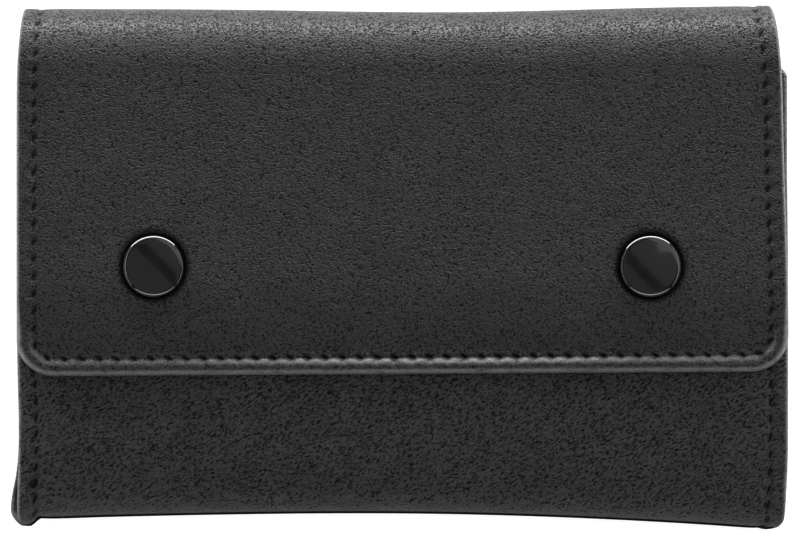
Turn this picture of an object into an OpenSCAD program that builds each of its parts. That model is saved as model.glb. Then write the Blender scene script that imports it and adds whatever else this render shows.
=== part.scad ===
// Flap-over card holder in black leather, lying on its back with its front up.
// X runs across the holder, Y from the bottom fold to the top fold, Z out of the front.
// The origin is under the middle of the holder, on the surface it lies on.

/* [Overall] */
// Width across the side edges
holder_w = 114; // [104:1:140]
// Height of the closed holder, bottom fold to top fold
holder_h = 77.4; // [70:0.2:96]

/* [Leather] */
// Thickness of the outer leather
leather_t = 0.9; // [0.7:0.05:1.2]
// Thickness of the lining leather
lining_t = 0.5; // [0.4:0.05:0.8]
// Thickness of the stiffening board inside the flap
board_t = 0.4; // [0.3:0.05:0.6]
// Thickness of the gusset leather
gusset_t = 0.4; // [0.3:0.05:0.5]
// Thickness of each of a divider's two plies
ply_t = 0.5; // [0.4:0.05:0.7]

/* [Compartments] */
// Gap of the front and rear card compartments
slim_bay = 1.8; // [1.5:0.1:2.6]
// Gap of the middle compartment
main_bay = 4.8; // [4.5:0.1:7]
// How far the front panel's top edge is below the top fold
front_drop = 9.2; // [7:0.2:14]
// How far the rear divider's top edge is below the top fold
rear_divider_drop = 11.2; // [9:0.2:16]
// How far the front divider's top edge is below the top fold
front_divider_drop = 12.8; // [9:0.2:18]
// Space under the dividers, up from the bottom fold
divider_lift = 4.6; // [4:0.2:7]
// Space between a divider's side edge and the holder's
divider_inset = 2.2; // [2:0.1:3]
// Radius of the dividers' top corners
divider_corner_r = 3; // [1:0.5:6]
// Space between the gusset's edge and the holder's side
gusset_inset = 0.6; // [0.4:0.1:1]
// Width of the gusset's flange past the seam
gusset_flange = 0.7; // [0.5:0.1:1.2]
// Space between a divider's side edge and the gusset's ridge round it
gusset_gap = 0.3; // [0.2:0.05:0.5]
// Space between the gussets and the lining in the round of the bottom fold
gusset_round_gap = 0.15; // [0.1:0.05:0.3]
// Depth of the gusset's fold in a slim bay, from the holder's side
slim_fold = 7; // [5:0.5:9]
// Depth of the gusset's fold in the middle bay, from the holder's side
main_fold = 11; // [8:0.5:13]

/* [Flap] */
// How far the flap's free edge is below the top fold
flap_drop = 54.6; // [48:0.2:66]
// Radius of the flap's two free corners
flap_corner_r = 5.5; // [3.5:0.5:10]
// Space between the stiffening board and the flap's edges
board_inset = 5; // [4:0.5:8]

/* [Stitching] */
// Distance of the seam from the edge
seam_margin = 2.8; // [2.2:0.1:3.4]
// Pitch of the stitches
stitch_pitch = 2.6; // [2:0.1:3.5]
// Length of thread that shows in each stitch
stitch_l = 1.8; // [1.2:0.1:1.9]
// Width of the thread that shows
thread_w = 0.5; // [0.3:0.05:0.7]
// Height of the thread that shows
thread_h = 0.22; // [0.15:0.01:0.3]
// Space round the thread in its groove
thread_gap = 0.06; // [0.04:0.01:0.12]

/* [Snaps] */
// Distance between the two snaps
snap_spacing = 73.4; // [60:0.2:88]
// How far the snaps are below the top fold
snap_drop = 38.7; // [32:0.1:46]
// Diameter of the caps on the face of the flap
cap_d = 9; // [8:0.1:11]
// Height of the caps over the leather
cap_h = 1.2; // [0.9:0.1:1.6]
// Radius of the caps' rounded edge
cap_edge_r = 0.45; // [0.2:0.05:0.6]
// Diameter of the cap's hollow shank
shank_d = 3; // [2.6:0.1:3.6]
// Thickness of the shank's wall
shank_wall = 0.4; // [0.3:0.05:0.6]
// Space round the shank in its hole
shank_gap = 0.1; // [0.05:0.01:0.15]
// Diameter of the shank's clinched end inside the socket
clinch_d = 4.2; // [3.6:0.1:4.6]
// Thickness of the shank's clinched end
clinch_t = 0.2; // [0.15:0.05:0.3]
// Outer diameter of the sockets under the flap
socket_d = 8.4; // [8:0.1:10]
// Bore of the sockets
socket_bore_d = 5.7; // [5.5:0.1:6.3]
// Thickness of the sockets' floor, against the flap
socket_floor_t = 0.4; // [0.3:0.05:0.6]
// Thickness of the lip under the spring's groove
socket_lip_t = 0.3; // [0.2:0.05:0.4]
// Wire diameter of the spring rings
spring_d = 0.56; // [0.4:0.02:0.66]
// Space over and under the spring in its groove
spring_gap = 0.045; // [0.03:0.005:0.08]
// Gap between the spring's two ends
spring_slot = 1.2; // [0.8:0.1:1.6]
// Diameter of the studs' and posts' flanges
stud_flange_d = 8; // [7:0.1:9]
// Thickness of the studs' flange on the front panel
stud_flange_t = 0.35; // [0.25:0.05:0.5]
// Diameter of the studs' neck
stud_neck_d = 3.7; // [3.5:0.1:4]
// Diameter of the studs' head
stud_head_d = 4.6; // [4.4:0.1:4.9]
// Height of the studs' head
stud_head_h = 0.6; // [0.5:0.05:0.8]
// Diameter of the posts that hold the studs from behind the front panel
post_d = 2.8; // [2.2:0.1:2.9]
// Space round the post in its hole and in the stud
post_gap = 0.05; // [0.03:0.01:0.1]
// Thickness of the posts' flange behind the front lining
post_flange_t = 0.35; // [0.25:0.05:0.45]
// Space between the snap's halves when they are shut
snap_play = 0.15; // [0.1:0.01:0.25]

/* [Hidden] */
$fn = 96;

// Layers of the panels
panel_t = leather_t + lining_t;
divider_t = 2 * ply_t;
flap_t = leather_t + board_t + lining_t;

// Heights of the layers over the surface the holder lies on
rear_divider_z = panel_t + slim_bay;
front_divider_z = rear_divider_z + divider_t + main_bay;
front_lining_z = front_divider_z + divider_t + slim_bay;
pouch_t = front_lining_z + panel_t;
spring_groove_h = spring_d + 2 * spring_gap;
snap_gap = stud_flange_t + snap_play + socket_lip_t + spring_groove_h + stud_head_h
    + snap_play + clinch_t + socket_floor_t;
flap_lining_z = pouch_t + snap_gap;
closed_t = flap_lining_z + flap_t;

// The two round folds, seen from the side
top_y = holder_h / 2;
bottom_y = -holder_h / 2;
fold_r = closed_t / 2;
fold_y = top_y - fold_r;
pouch_r = pouch_t / 2;
pouch_y = bottom_y + pouch_r;
// The top fold bends at these two lines of its arc, measured from straight down and straight up
bend_angle = 45;

front_top_y = top_y - front_drop;
flap_edge_y = top_y - flap_drop;
snap_y = top_y - snap_drop;
seam_x = holder_w / 2 - seam_margin;
groove_w = thread_w + 2 * thread_gap;
groove_d = thread_h + thread_gap;

// Side view to solid: the drawing's x is Y and its y is Z.
module along_x(w) {
    rotate([90, 0, 90])
        linear_extrude(w, center = true)
            children();
}

// Front view to solid, from one height to another.
module along_z(low, high) {
    translate([0, 0, low])
        linear_extrude(high - low)
            children();
}

module both_sides() {
    for (side = [-1, 1])
        translate([side * seam_x, 0, 0])
            children();
}

module at_snaps() {
    for (side = [-1, 1])
        translate([side * snap_spacing / 2, snap_y, 0])
            children();
}

// Part of a ring, between two angles less than 180 degrees apart.
module ring_sector(centre, inner, outer, from, to) {
    reach = 2 * outer;
    middle = (from + to) / 2;
    translate(centre)
        intersection() {
            difference() {
                circle(outer);
                circle(inner);
            }
            polygon([
                [0, 0],
                reach * [cos(from), sin(from)],
                reach * [cos(middle), sin(middle)],
                reach * [cos(to), sin(to)],
            ]);
        }
}

// A layer of the strip that the back is cut from, by its depths under the outer face.
module back_layer(d0, d1) {
    translate([pouch_y, d0])
        square([fold_y - pouch_y, d1 - d0]);
    ring_sector([pouch_y, pouch_r], pouch_r - d1, pouch_r - d0, 180, 270);
    ring_sector([fold_y, fold_r], fold_r - d1, fold_r - d0, 270, 270 + bend_angle);
}

// The stretch of the top fold between its two bending lines.
module fold_layer(d0, d1) {
    ring_sector([fold_y, fold_r], fold_r - d1, fold_r - d0, -90 + bend_angle, 90 - bend_angle);
}

// The flap: the end of the top fold's arc and the flat stretch down to its free edge.
module flap_layer(d0, d1) {
    ring_sector([fold_y, fold_r], fold_r - d1, fold_r - d0, 90 - bend_angle, 90);
    translate([flap_edge_y, closed_t - d1])
        square([fold_y - flap_edge_y, d1 - d0]);
}

// The front panel, from the lowest line of the bottom fold up to its top edge.
module front_layer(d0, d1) {
    ring_sector([pouch_y, pouch_r], pouch_r - d1, pouch_r - d0, 90, 180);
    translate([pouch_y, pouch_t - d1])
        square([front_top_y - pouch_y, d1 - d0]);
}

// The space for the gussets inside the back and front linings, seen from the side.
module gusset_space() {
    translate([pouch_y, panel_t])
        square([min(front_top_y, top_y - rear_divider_drop) - pouch_y, pouch_t - 2 * panel_t]);
    translate([pouch_y, pouch_r])
        circle(pouch_r - panel_t - gusset_round_gap);
}

// Outline of the flap seen from the front, drawn in by a margin, with its free corners rounded.
module flap_outline(margin) {
    w = holder_w - 2 * margin;
    r = flap_corner_r - margin;
    low = flap_edge_y + margin;
    translate([-w / 2, low + r])
        square([w, top_y + 1 - low - r]);
    translate([-w / 2 + r, low])
        square([w - 2 * r, 2 * r]);
    for (side = [-1, 1])
        translate([side * (w / 2 - r), low + r])
            circle(r);
}

// One stitch: a short bar of thread lying in its groove, its top face at z = 0, running along Y.
module stitch() {
    translate([-thread_w / 2, -stitch_l / 2, -thread_h])
        cube([thread_w, stitch_l, thread_h]);
}

// How many stitches fit in a length, and how far the first is from its end.
function stitch_count(l) = floor(l / stitch_pitch);
function stitch_start(l) = (l - (stitch_count(l) - 1) * stitch_pitch) / 2;

// A straight row of stitches between two points that share a height, facing up or down.
module stitch_row(from, to, down = false) {
    l = norm(to - from);
    turn = atan2(to.y - from.y, to.x - from.x) - 90;
    for (i = [0 : stitch_count(l) - 1])
        translate(from + (to - from) * (stitch_start(l) + i * stitch_pitch) / l)
            rotate([0, 0, turn])
                rotate([0, down ? 180 : 0, 0])
                    stitch();
}

// A row of stitches round part of a fold, between two angles of the side view.
module stitch_arc(centre, r, from, to) {
    l = r * (to - from) * PI / 180;
    for (i = [0 : stitch_count(l) - 1]) {
        a = from + (to - from) * (stitch_start(l) + i * stitch_pitch) / l;
        translate([0, centre.x + r * cos(a), centre.y + r * sin(a)])
            rotate([a - 90, 0, 0])
                stitch();
    }
}

// ---- Back ----

module back_leather() {
    color([0.13, 0.13, 0.13])
        difference() {
            along_x(holder_w) back_layer(0, leather_t);
            both_sides() along_x(groove_w) back_layer(-1, groove_d);
        }
}

module back_lining() {
    color([0.16, 0.16, 0.16])
        along_x(holder_w) back_layer(leather_t, panel_t);
}

module back_stitching() {
    color([0.05, 0.05, 0.05])
        both_sides() {
            stitch_row([0, pouch_y, thread_gap / 2], [0, fold_y, thread_gap / 2], down = true);
            stitch_arc([pouch_y, pouch_r], pouch_r - thread_gap / 2, 180, 270);
            stitch_arc([fold_y, fold_r], fold_r - thread_gap / 2, 270, 270 + bend_angle);
        }
}

// ---- Gussets ----

// Where two leaves part, on the open side of the fold that joins them at a tip: half the leather's
// thickness over the lower leaf meets half of it under the upper one. Their far ends are a and b.
function crotch(tip, a, b) =
    let (
        fall = (tip.y - a.y) / (tip.x - a.x),
        rise = (b.y - tip.y) / (tip.x - b.x),
        back = gusset_t / (fall + rise)
    )
    [tip.x - back, tip.y + gusset_t / 2 - fall * back];

// Section of the left gusset: x is in from the side edge and y is up.
// Each bay holds one fold that points inwards, and a ridge passes outside each divider's edge.
module gusset_section() {
    half = [0, gusset_t / 2];
    thick = [gusset_t, 0];
    flange_x = seam_margin + gusset_flange;
    ridge_x = divider_inset - gusset_gap - gusset_t;
    back_edge = [gusset_inset, panel_t] + half;
    back_flange = [flange_x, panel_t] + half;
    slim_in = [slim_fold, panel_t + slim_bay / 2];
    under_rear = [ridge_x, rear_divider_z] - half;
    over_rear = [ridge_x, rear_divider_z + divider_t] + half;
    main_in = [main_fold, rear_divider_z + divider_t + main_bay / 2];
    under_front = [ridge_x, front_divider_z] - half;
    over_front = [ridge_x, front_divider_z + divider_t] + half;
    slim_out = [slim_fold, front_lining_z - slim_bay / 2];
    front_flange = [flange_x, front_lining_z] - half;
    front_edge = [gusset_inset, front_lining_z] - half;
    polygon([
        back_edge - half, back_flange - half, slim_in - half, slim_in + half,
        under_rear + thick + half, over_rear + thick - half, main_in - half, main_in + half,
        under_front + thick + half, over_front + thick - half, slim_out - half, slim_out + half,
        front_flange + half, front_edge + half, front_edge - half, front_flange - half,
        crotch(slim_out, over_front, front_flange), over_front + half, under_front - half,
        crotch(main_in, over_rear, under_front), over_rear + half, under_rear - half,
        crotch(slim_in, back_flange, under_rear), back_flange + half, back_edge + half,
    ]);
}

module gusset_left() {
    color([0.15, 0.15, 0.15])
        intersection() {
            translate([-holder_w / 2, top_y, 0])
                rotate([90, 0, 0])
                    linear_extrude(holder_h)
                        gusset_section();
            along_x(holder_w) gusset_space();
        }
}

module gusset_right() {
    mirror([1, 0, 0])
        gusset_left();
}

// ---- Top fold ----

module fold_leather() {
    color([0.13, 0.13, 0.13])
        difference() {
            along_x(holder_w) fold_layer(0, leather_t);
            both_sides() along_x(groove_w) fold_layer(-1, groove_d);
        }
}

module fold_lining() {
    color([0.16, 0.16, 0.16])
        along_x(holder_w) fold_layer(leather_t, panel_t);
}

module fold_stitching() {
    color([0.05, 0.05, 0.05])
        both_sides()
            stitch_arc([fold_y, fold_r], fold_r - thread_gap / 2, -90 + bend_angle, 90 - bend_angle);
}

// ---- Flap ----

// Holes for the caps' shanks.
module shank_holes() {
    at_snaps()
        translate([0, 0, pouch_t])
            cylinder(h = closed_t, d = shank_d + 2 * shank_gap);
}

// Cuts the flap's layers to the outline seen from the front.
module cut_to_flap(margin = 0) {
    intersection() {
        children();
        along_z(0, closed_t + 1) flap_outline(margin);
    }
}

// A groove runs along the flap's two sides, round its corners and along its free edge.
module flap_groove() {
    half = groove_w / 2;
    along_z(closed_t - groove_d, closed_t + 1)
        intersection() {
            difference() {
                flap_outline(seam_margin - half);
                flap_outline(seam_margin + half);
            }
            translate([-holder_w / 2, flap_edge_y])
                square([holder_w, fold_y - flap_edge_y]);
        }
    both_sides()
        along_x(groove_w)
            ring_sector([fold_y, fold_r], fold_r - groove_d, fold_r + 1, 90 - bend_angle, 90);
}

module flap_leather() {
    color([0.13, 0.13, 0.13])
        difference() {
            cut_to_flap() along_x(holder_w) flap_layer(0, leather_t);
            flap_groove();
            shank_holes();
        }
}

// The board's own outline: a plain rectangle inside the seam.
module board_outline(margin = 0) {
    w = holder_w - 2 * board_inset + 2 * margin;
    low = flap_edge_y + board_inset - margin;
    high = fold_y - board_inset + margin;
    translate([-w / 2, low])
        square([w, high - low]);
}

module flap_board() {
    color([0.55, 0.45, 0.33])
        difference() {
            along_z(flap_lining_z + lining_t, closed_t - leather_t) board_outline();
            shank_holes();
        }
}

// The lining lies against the leather round its edge and dips under the board.
module flap_lining() {
    color([0.16, 0.16, 0.16])
        difference() {
            union() {
                cut_to_flap() along_x(holder_w) flap_layer(leather_t, panel_t);
                along_z(flap_lining_z, closed_t - leather_t) board_outline(lining_t);
            }
            along_z(flap_lining_z + lining_t, closed_t) board_outline();
            shank_holes();
        }
}

module flap_stitching() {
    z = closed_t - thread_gap / 2;
    corner_y = flap_edge_y + flap_corner_r;
    edge_x = holder_w / 2 - flap_corner_r;
    color([0.05, 0.05, 0.05]) {
        both_sides() {
            stitch_row([0, corner_y, z], [0, fold_y, z]);
            stitch_arc([fold_y, fold_r], fold_r - thread_gap / 2, 90 - bend_angle, 90);
        }
        stitch_row([-edge_x, flap_edge_y + seam_margin, z], [edge_x, flap_edge_y + seam_margin, z]);
    }
}

// ---- Snaps ----

// Cap with a rounded edge, its hollow shank and the clinched end of the shank.
module snap_caps() {
    clinch_z = flap_lining_z - socket_floor_t - clinch_t;
    hollow_d = shank_d - 2 * shank_wall;
    color([0.03, 0.03, 0.03])
        at_snaps()
            rotate_extrude() {
                difference() {
                    union() {
                        translate([0, closed_t])
                            square([cap_d / 2 - cap_edge_r, cap_h]);
                        translate([0, closed_t])
                            square([cap_d / 2, cap_h - cap_edge_r]);
                        translate([cap_d / 2 - cap_edge_r, closed_t + cap_h - cap_edge_r])
                            circle(cap_edge_r);
                        translate([0, clinch_z])
                            square([shank_d / 2, closed_t - clinch_z]);
                        translate([0, clinch_z])
                            square([clinch_d / 2, clinch_t]);
                    }
                    translate([-1, clinch_z - 1])
                        square([1 + hollow_d / 2, closed_t - clinch_z + 1]);
                    translate([-2 * cap_edge_r, 0])
                        square([2 * cap_edge_r, closed_t + 2 * cap_h]);
                }
            }
}

// Socket: a cup that opens towards the stud, with a groove for its spring ring.
module snap_sockets() {
    low = pouch_t + stud_flange_t + snap_play;
    groove_z = low + socket_lip_t;
    color([0.62, 0.62, 0.62])
        at_snaps()
            difference() {
                translate([0, 0, low])
                    cylinder(h = flap_lining_z - low, d = socket_d);
                translate([0, 0, low - 1])
                    cylinder(h = flap_lining_z - socket_floor_t - low + 1, d = socket_bore_d);
                translate([0, 0, groove_z])
                    cylinder(h = spring_groove_h, d = socket_bore_d + 2 * spring_d);
                translate([0, 0, low])
                    cylinder(h = closed_t, d = shank_d + 2 * shank_gap);
            }
}

// Split ring of round wire that grips the stud's neck.
module snap_springs() {
    wire_z = pouch_t + stud_flange_t + snap_play + socket_lip_t + spring_groove_h / 2;
    ring_r = stud_neck_d / 2 + snap_play + spring_d / 2;
    color([0.75, 0.75, 0.75])
        at_snaps()
            difference() {
                translate([0, 0, wire_z])
                    rotate_extrude()
                        translate([ring_r, 0])
                            circle(d = spring_d, $fn = 32);
                translate([ring_r - spring_d, -spring_slot / 2, wire_z - spring_d])
                    cube([2 * spring_d, spring_slot, 2 * spring_d]);
            }
}

// Stud: a flange on the leather, a neck, and a wider head with a drilled underside.
module snap_studs() {
    head_z = flap_lining_z - socket_floor_t - clinch_t - snap_play - stud_head_h;
    crown = stud_head_h / 3;
    color([0.62, 0.62, 0.62])
        at_snaps()
            difference() {
                union() {
                    translate([0, 0, pouch_t])
                        cylinder(h = stud_flange_t, d = stud_flange_d);
                    translate([0, 0, pouch_t])
                        cylinder(h = head_z - pouch_t, d = stud_neck_d);
                    translate([0, 0, head_z])
                        cylinder(h = stud_head_h - crown, d = stud_head_d);
                    translate([0, 0, head_z + stud_head_h - crown])
                        cylinder(h = crown, d1 = stud_head_d, d2 = stud_head_d - 2 * crown);
                }
                translate([0, 0, pouch_t - 1])
                    cylinder(h = head_z - pouch_t + 1, d = post_d + 2 * post_gap);
            }
}

// Post: a flange behind the front lining and a shank up into the stud.
module snap_posts() {
    head_z = flap_lining_z - socket_floor_t - clinch_t - snap_play - stud_head_h;
    color([0.62, 0.62, 0.62])
        at_snaps() {
            translate([0, 0, front_lining_z - post_flange_t])
                cylinder(h = post_flange_t, d = stud_flange_d);
            translate([0, 0, front_lining_z - post_flange_t])
                cylinder(h = head_z - post_gap - front_lining_z + post_flange_t, d = post_d);
        }
}

// ---- Front panel ----

module post_holes() {
    at_snaps()
        cylinder(h = closed_t, d = post_d + 2 * post_gap);
}

module front_leather() {
    color([0.13, 0.13, 0.13])
        difference() {
            along_x(holder_w) front_layer(0, leather_t);
            both_sides() along_x(groove_w) front_layer(-1, groove_d);
            post_holes();
        }
}

module front_lining() {
    color([0.16, 0.16, 0.16])
        difference() {
            along_x(holder_w) front_layer(leather_t, panel_t);
            post_holes();
        }
}

module front_stitching() {
    z = pouch_t - thread_gap / 2;
    color([0.05, 0.05, 0.05])
        both_sides() {
            stitch_row([0, pouch_y, z], [0, front_top_y, z]);
            stitch_arc([pouch_y, pouch_r], pouch_r - thread_gap / 2, 90, 180);
        }
}

// ---- Dividers ----

// One ply of a divider, with its two top corners rounded.
module divider_ply(z, drop) {
    w = holder_w - 2 * divider_inset;
    low = bottom_y + divider_lift;
    high = top_y - drop;
    r = divider_corner_r;
    along_z(z, z + ply_t) {
        translate([-w / 2, low])
            square([w, high - r - low]);
        translate([-w / 2 + r, high - 2 * r])
            square([w - 2 * r, 2 * r]);
        for (side = [-1, 1])
            translate([side * (w / 2 - r), high - r])
                circle(r);
    }
}

module rear_divider_leather() {
    color([0.14, 0.14, 0.14])
        divider_ply(rear_divider_z + ply_t, rear_divider_drop);
}

module rear_divider_lining() {
    color([0.17, 0.17, 0.17])
        divider_ply(rear_divider_z, rear_divider_drop);
}

module front_divider_leather() {
    color([0.14, 0.14, 0.14])
        divider_ply(front_divider_z + ply_t, front_divider_drop);
}

module front_divider_lining() {
    color([0.17, 0.17, 0.17])
        divider_ply(front_divider_z, front_divider_drop);
}

back_leather();
back_lining();
back_stitching();
gusset_left();
gusset_right();
fold_leather();
fold_lining();
fold_stitching();
flap_leather();
flap_board();
flap_lining();
flap_stitching();
snap_caps();
snap_sockets();
snap_springs();
front_leather();
front_lining();
front_stitching();
snap_studs();
snap_posts();
rear_divider_leather();
rear_divider_lining();
front_divider_leather();
front_divider_lining();
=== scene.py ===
# %% [markdown]
# # A black leather card holder with two press snaps
# The real holder is cut flat from nappa leather, lined, folded twice and sewn up its sides. This lesson
# makes it the same way. Every panel starts as a flat cut with a grid of points on it. The grid gets its
# rolled edges, its seam grooves and its needle pits while it is still flat, and one function then folds it
# round the two folds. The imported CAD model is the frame: it says how wide, how tall and how thick.

# %% Load the frame
import math

import bpy
import numpy as np
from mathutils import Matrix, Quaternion, Vector


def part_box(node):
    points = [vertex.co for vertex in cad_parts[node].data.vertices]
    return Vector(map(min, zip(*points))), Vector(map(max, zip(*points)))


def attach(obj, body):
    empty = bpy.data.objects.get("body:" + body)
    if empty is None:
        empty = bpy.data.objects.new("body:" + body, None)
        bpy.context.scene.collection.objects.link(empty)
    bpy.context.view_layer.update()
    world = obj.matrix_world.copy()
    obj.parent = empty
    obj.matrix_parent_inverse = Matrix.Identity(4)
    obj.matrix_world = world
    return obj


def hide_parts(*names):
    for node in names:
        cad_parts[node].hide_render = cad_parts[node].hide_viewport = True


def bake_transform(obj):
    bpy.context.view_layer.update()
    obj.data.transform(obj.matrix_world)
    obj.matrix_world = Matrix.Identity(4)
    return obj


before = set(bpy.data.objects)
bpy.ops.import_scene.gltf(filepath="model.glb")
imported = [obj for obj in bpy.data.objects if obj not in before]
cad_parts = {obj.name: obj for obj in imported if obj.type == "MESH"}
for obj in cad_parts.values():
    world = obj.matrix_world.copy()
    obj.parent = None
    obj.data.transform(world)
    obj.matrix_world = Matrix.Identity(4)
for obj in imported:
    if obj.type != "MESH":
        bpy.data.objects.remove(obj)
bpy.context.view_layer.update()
MM = 0.001


# %% [markdown]
# ## Sizes
# Leatherwork is measured in millimetres, so the whole lesson works in them, and points become metres only
# when a mesh is filled. Each size below is read from the box of a CAD node, so a new pack brings new sizes
# with it.

# %% Read the sizes in millimetres
def corners(node):
    """The lowest and highest corner of a CAD node, in millimetres."""
    low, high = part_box(node)
    return np.array(low) / MM, np.array(high) / MM


half_w = corners("back_leather")[1][0]
bottom_y = corners("back_leather")[0][1]
top_y = corners("fold_leather")[1][1]
closed_t = corners("flap_leather")[1][2]
pouch_t = corners("front_leather")[1][2]
panel_t = corners("gusset_left")[0][2]
lining_t = panel_t - corners("back_lining")[0][2]
flap_t = closed_t - corners("flap_lining")[0][2]
front_top_y = corners("front_leather")[1][1]
flap_edge_y = corners("flap_leather")[0][1]
cap_low, cap_high = corners("snap_caps")
cap_r = (cap_high[1] - cap_low[1]) / 2
snap_x = cap_high[0] - cap_r
snap_y = (cap_high[1] + cap_low[1]) / 2
print(f"closed: {2 * half_w:.1f} x {top_y - bottom_y:.1f} x {closed_t:.1f} mm")
print(f"snaps {2 * snap_x:.1f} mm apart")


# %% [markdown]
# ## Three small curves
# Nearly every soft shape in this lesson is a sum of steps and bells, so they get short names. The third
# one places the lines of a grid.

# %% Steps and bells
def step(low, high, x):
    """0 before low, 1 after high, and the smooth cubic 3t2 - 2t3 between them."""
    t = np.clip((x - low) / (high - low), 0, 1)
    return t * t * (3 - 2 * t)


def bell(x, width):
    """The bell curve exp(-(x / width)2): 1 at 0, and about a third at the width."""
    return np.exp(-(x / width) ** 2)


def spaced(*stretches, share=7):
    """Places from 0 to 1 whose gaps follow (length, gap) stretches, for a grid that is fine only at a seam.
    The number of gaps is made a multiple of share, so that a coarse grid can use every share-th place."""
    gaps = np.concatenate([np.full(max(1, round(length / gap)), gap) for length, gap in stretches])
    places = np.concatenate([[0], np.cumsum(gaps)])
    even_steps = np.linspace(0, 1, share * round(len(gaps) / share) + 1)
    return np.interp(even_steps, np.linspace(0, 1, len(places)), places / places[-1])


# %% [markdown]
# ## The line that the strip follows
# Seen from the side, the strip starts at the front panel's top edge, comes down the front, turns round the
# bottom fold, goes up the back, turns over the top fold and comes down again as the flap. Place along it is
# s, which is 0 at the lowest line of the bottom fold and grows towards the flap.

# %% Where the strip runs
pouch_r, fold_r = pouch_t / 2, closed_t / 2
pouch_y, fold_y = bottom_y + pouch_r, top_y - fold_r
s_round = pouch_r * math.pi / 2
s_back = s_round + fold_y - pouch_y
s_top = s_back + fold_r * math.pi / 2
s_fold = s_back + fold_r * math.pi
s_edge = s_fold + fold_y - flap_edge_y
s_front = -(s_round + front_top_y - pouch_y)


def squared(angle, power):
    """The radius of a squared circle, (|cos|p + |sin|p)(-1/p): 1 on the axes and more between them. Leather
    that is pressed flat keeps its flat faces a little longer than a true half round would."""
    return (np.abs(np.cos(angle)) ** power + np.abs(np.sin(angle)) ** power) ** (-1 / power)


def strip_line(s):
    """The side view of the outer face: y and z of the line at s, and the way it faces.
    Straight stretches run at a steady height; on a fold the angle is the arc's length over its radius."""
    low, high = s / pouch_r, (s - s_back) / fold_r
    low_r, high_r = pouch_r * squared(low, 2.6), fold_r * squared(high, 2.35)
    flat = np.zeros_like(s)
    where = [s < -s_round, s <= s_round, s < s_back, s <= s_fold, s > s_fold]
    y = np.select(where, [pouch_y - s - s_round, pouch_y - low_r * np.cos(low), pouch_y + s - s_round,
                          fold_y + high_r * np.sin(high), fold_y - (s - s_fold)])
    z = np.select(where, [flat + pouch_t, pouch_r - low_r * np.sin(low), flat,
                          fold_r - high_r * np.cos(high), flat + closed_t])
    face_y = np.select(where, [flat, -np.cos(low), flat, np.sin(high), flat])
    face_z = np.select(where, [flat + 1, -np.sin(low), flat - 1, -np.cos(high), flat + 1])
    return y, z, face_y, face_z


def settle(points):
    """The set that use gives a soft holder, as a gentle push of every point in y. With u = x / half width,
    the top fold dips by 0.23 - 0.27 u and a 0.75 mm bell, and the bottom fold bows up by about 2 mm in the
    middle. The strips outside the side seams, the ears, nearly stay where they were cut."""
    x, y = points[..., 0], points[..., 1]
    u = x / half_w
    top_dip = 0.23 - 0.27 * u + 0.75 * bell(u - 0.12, 0.52)
    v = u + 0.13
    bow = 1.97 - 1.57 * v ** 2 - 0.4 * v ** 3
    ear = step(half_w - 3.5, half_w - 1.7, np.abs(x))
    bow = bow * (1 - ear) + ear * np.where(x < 0, 0.15 + 0.8 * step(-56.3, -58.2, x), -0.2)
    moved = points.copy()
    moved[..., 1] = y - top_dip * step(10, top_y, y) + bow * step(-17, bottom_y, y)
    return moved


def fold(x, s, depth):
    """A flat point (x, s) at a depth under the outer face, folded: the line's point at s, less the way it
    faces times the depth, and then settled."""
    y, z, face_y, face_z = strip_line(s)
    return settle(np.stack([x + 0 * y, y - face_y * depth, z - face_z * depth], -1))


print(f"the strip is {s_edge - s_front:.0f} mm long before it is folded")


# %% [markdown]
# ## A sheet with rolled edges
# A turned edge is leather folded round and glued down, so the edge of every panel is a half round and never
# a sharp corner. A sheet is made as a fine grid on its face, rings that roll over the edge, and a coarse
# grid on its hidden side. Square rings of points become round ones at a rounded corner, which keeps rows of
# faces running along the edge, where the light shows them.

# %% Fill a mesh
def fill_mesh(name, points, faces, body=None, uv=None):
    """A mesh object from points in millimetres and a list of face arrays, each of one polygon size."""
    mesh = bpy.data.meshes.new(name)
    loops = np.concatenate([f.reshape(-1) for f in faces]).astype(np.int32)
    sizes = np.concatenate([np.full(len(f), f.shape[1]) for f in faces])
    starts = np.concatenate([[0], np.cumsum(sizes)[:-1]]).astype(np.int32)
    mesh.vertices.add(len(points))
    mesh.vertices.foreach_set("co", (points * MM).astype(np.float32).ravel())
    mesh.loops.add(len(loops))
    mesh.loops.foreach_set("vertex_index", loops)
    mesh.polygons.add(len(sizes))
    mesh.polygons.foreach_set("loop_start", starts)
    mesh.update(calc_edges=True)
    mesh.polygons.foreach_set("use_smooth", np.ones(len(sizes), bool))
    mesh.set_sharp_from_angle(angle=math.radians(48))
    if uv is not None:
        mesh.uv_layers.new(name="map").data.foreach_set("uv", uv.astype(np.float32).ravel())
    piece = bpy.data.objects.new(name, mesh)
    bpy.context.scene.collection.objects.link(piece)
    if body:
        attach(piece, body)
    return piece


def grid_faces(rows, columns, first=0, turned=False):
    """The four-sided faces between neighbouring points of a rows x columns grid."""
    i = first + np.arange(rows * columns).reshape(rows, columns)
    quads = np.stack([i[:-1, :-1], i[1:, :-1], i[1:, 1:], i[:-1, 1:]], -1).reshape(-1, 4)
    return quads[:, ::-1] if turned else quads


def rim_loop(rows, columns):
    """The grid's border, once round: along the first row, up the last column, and back."""
    i = np.arange(rows * columns).reshape(rows, columns)
    return np.concatenate([i[0, :-1], i[:-1, -1], i[-1, :0:-1], i[:0:-1, 0]])


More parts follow.
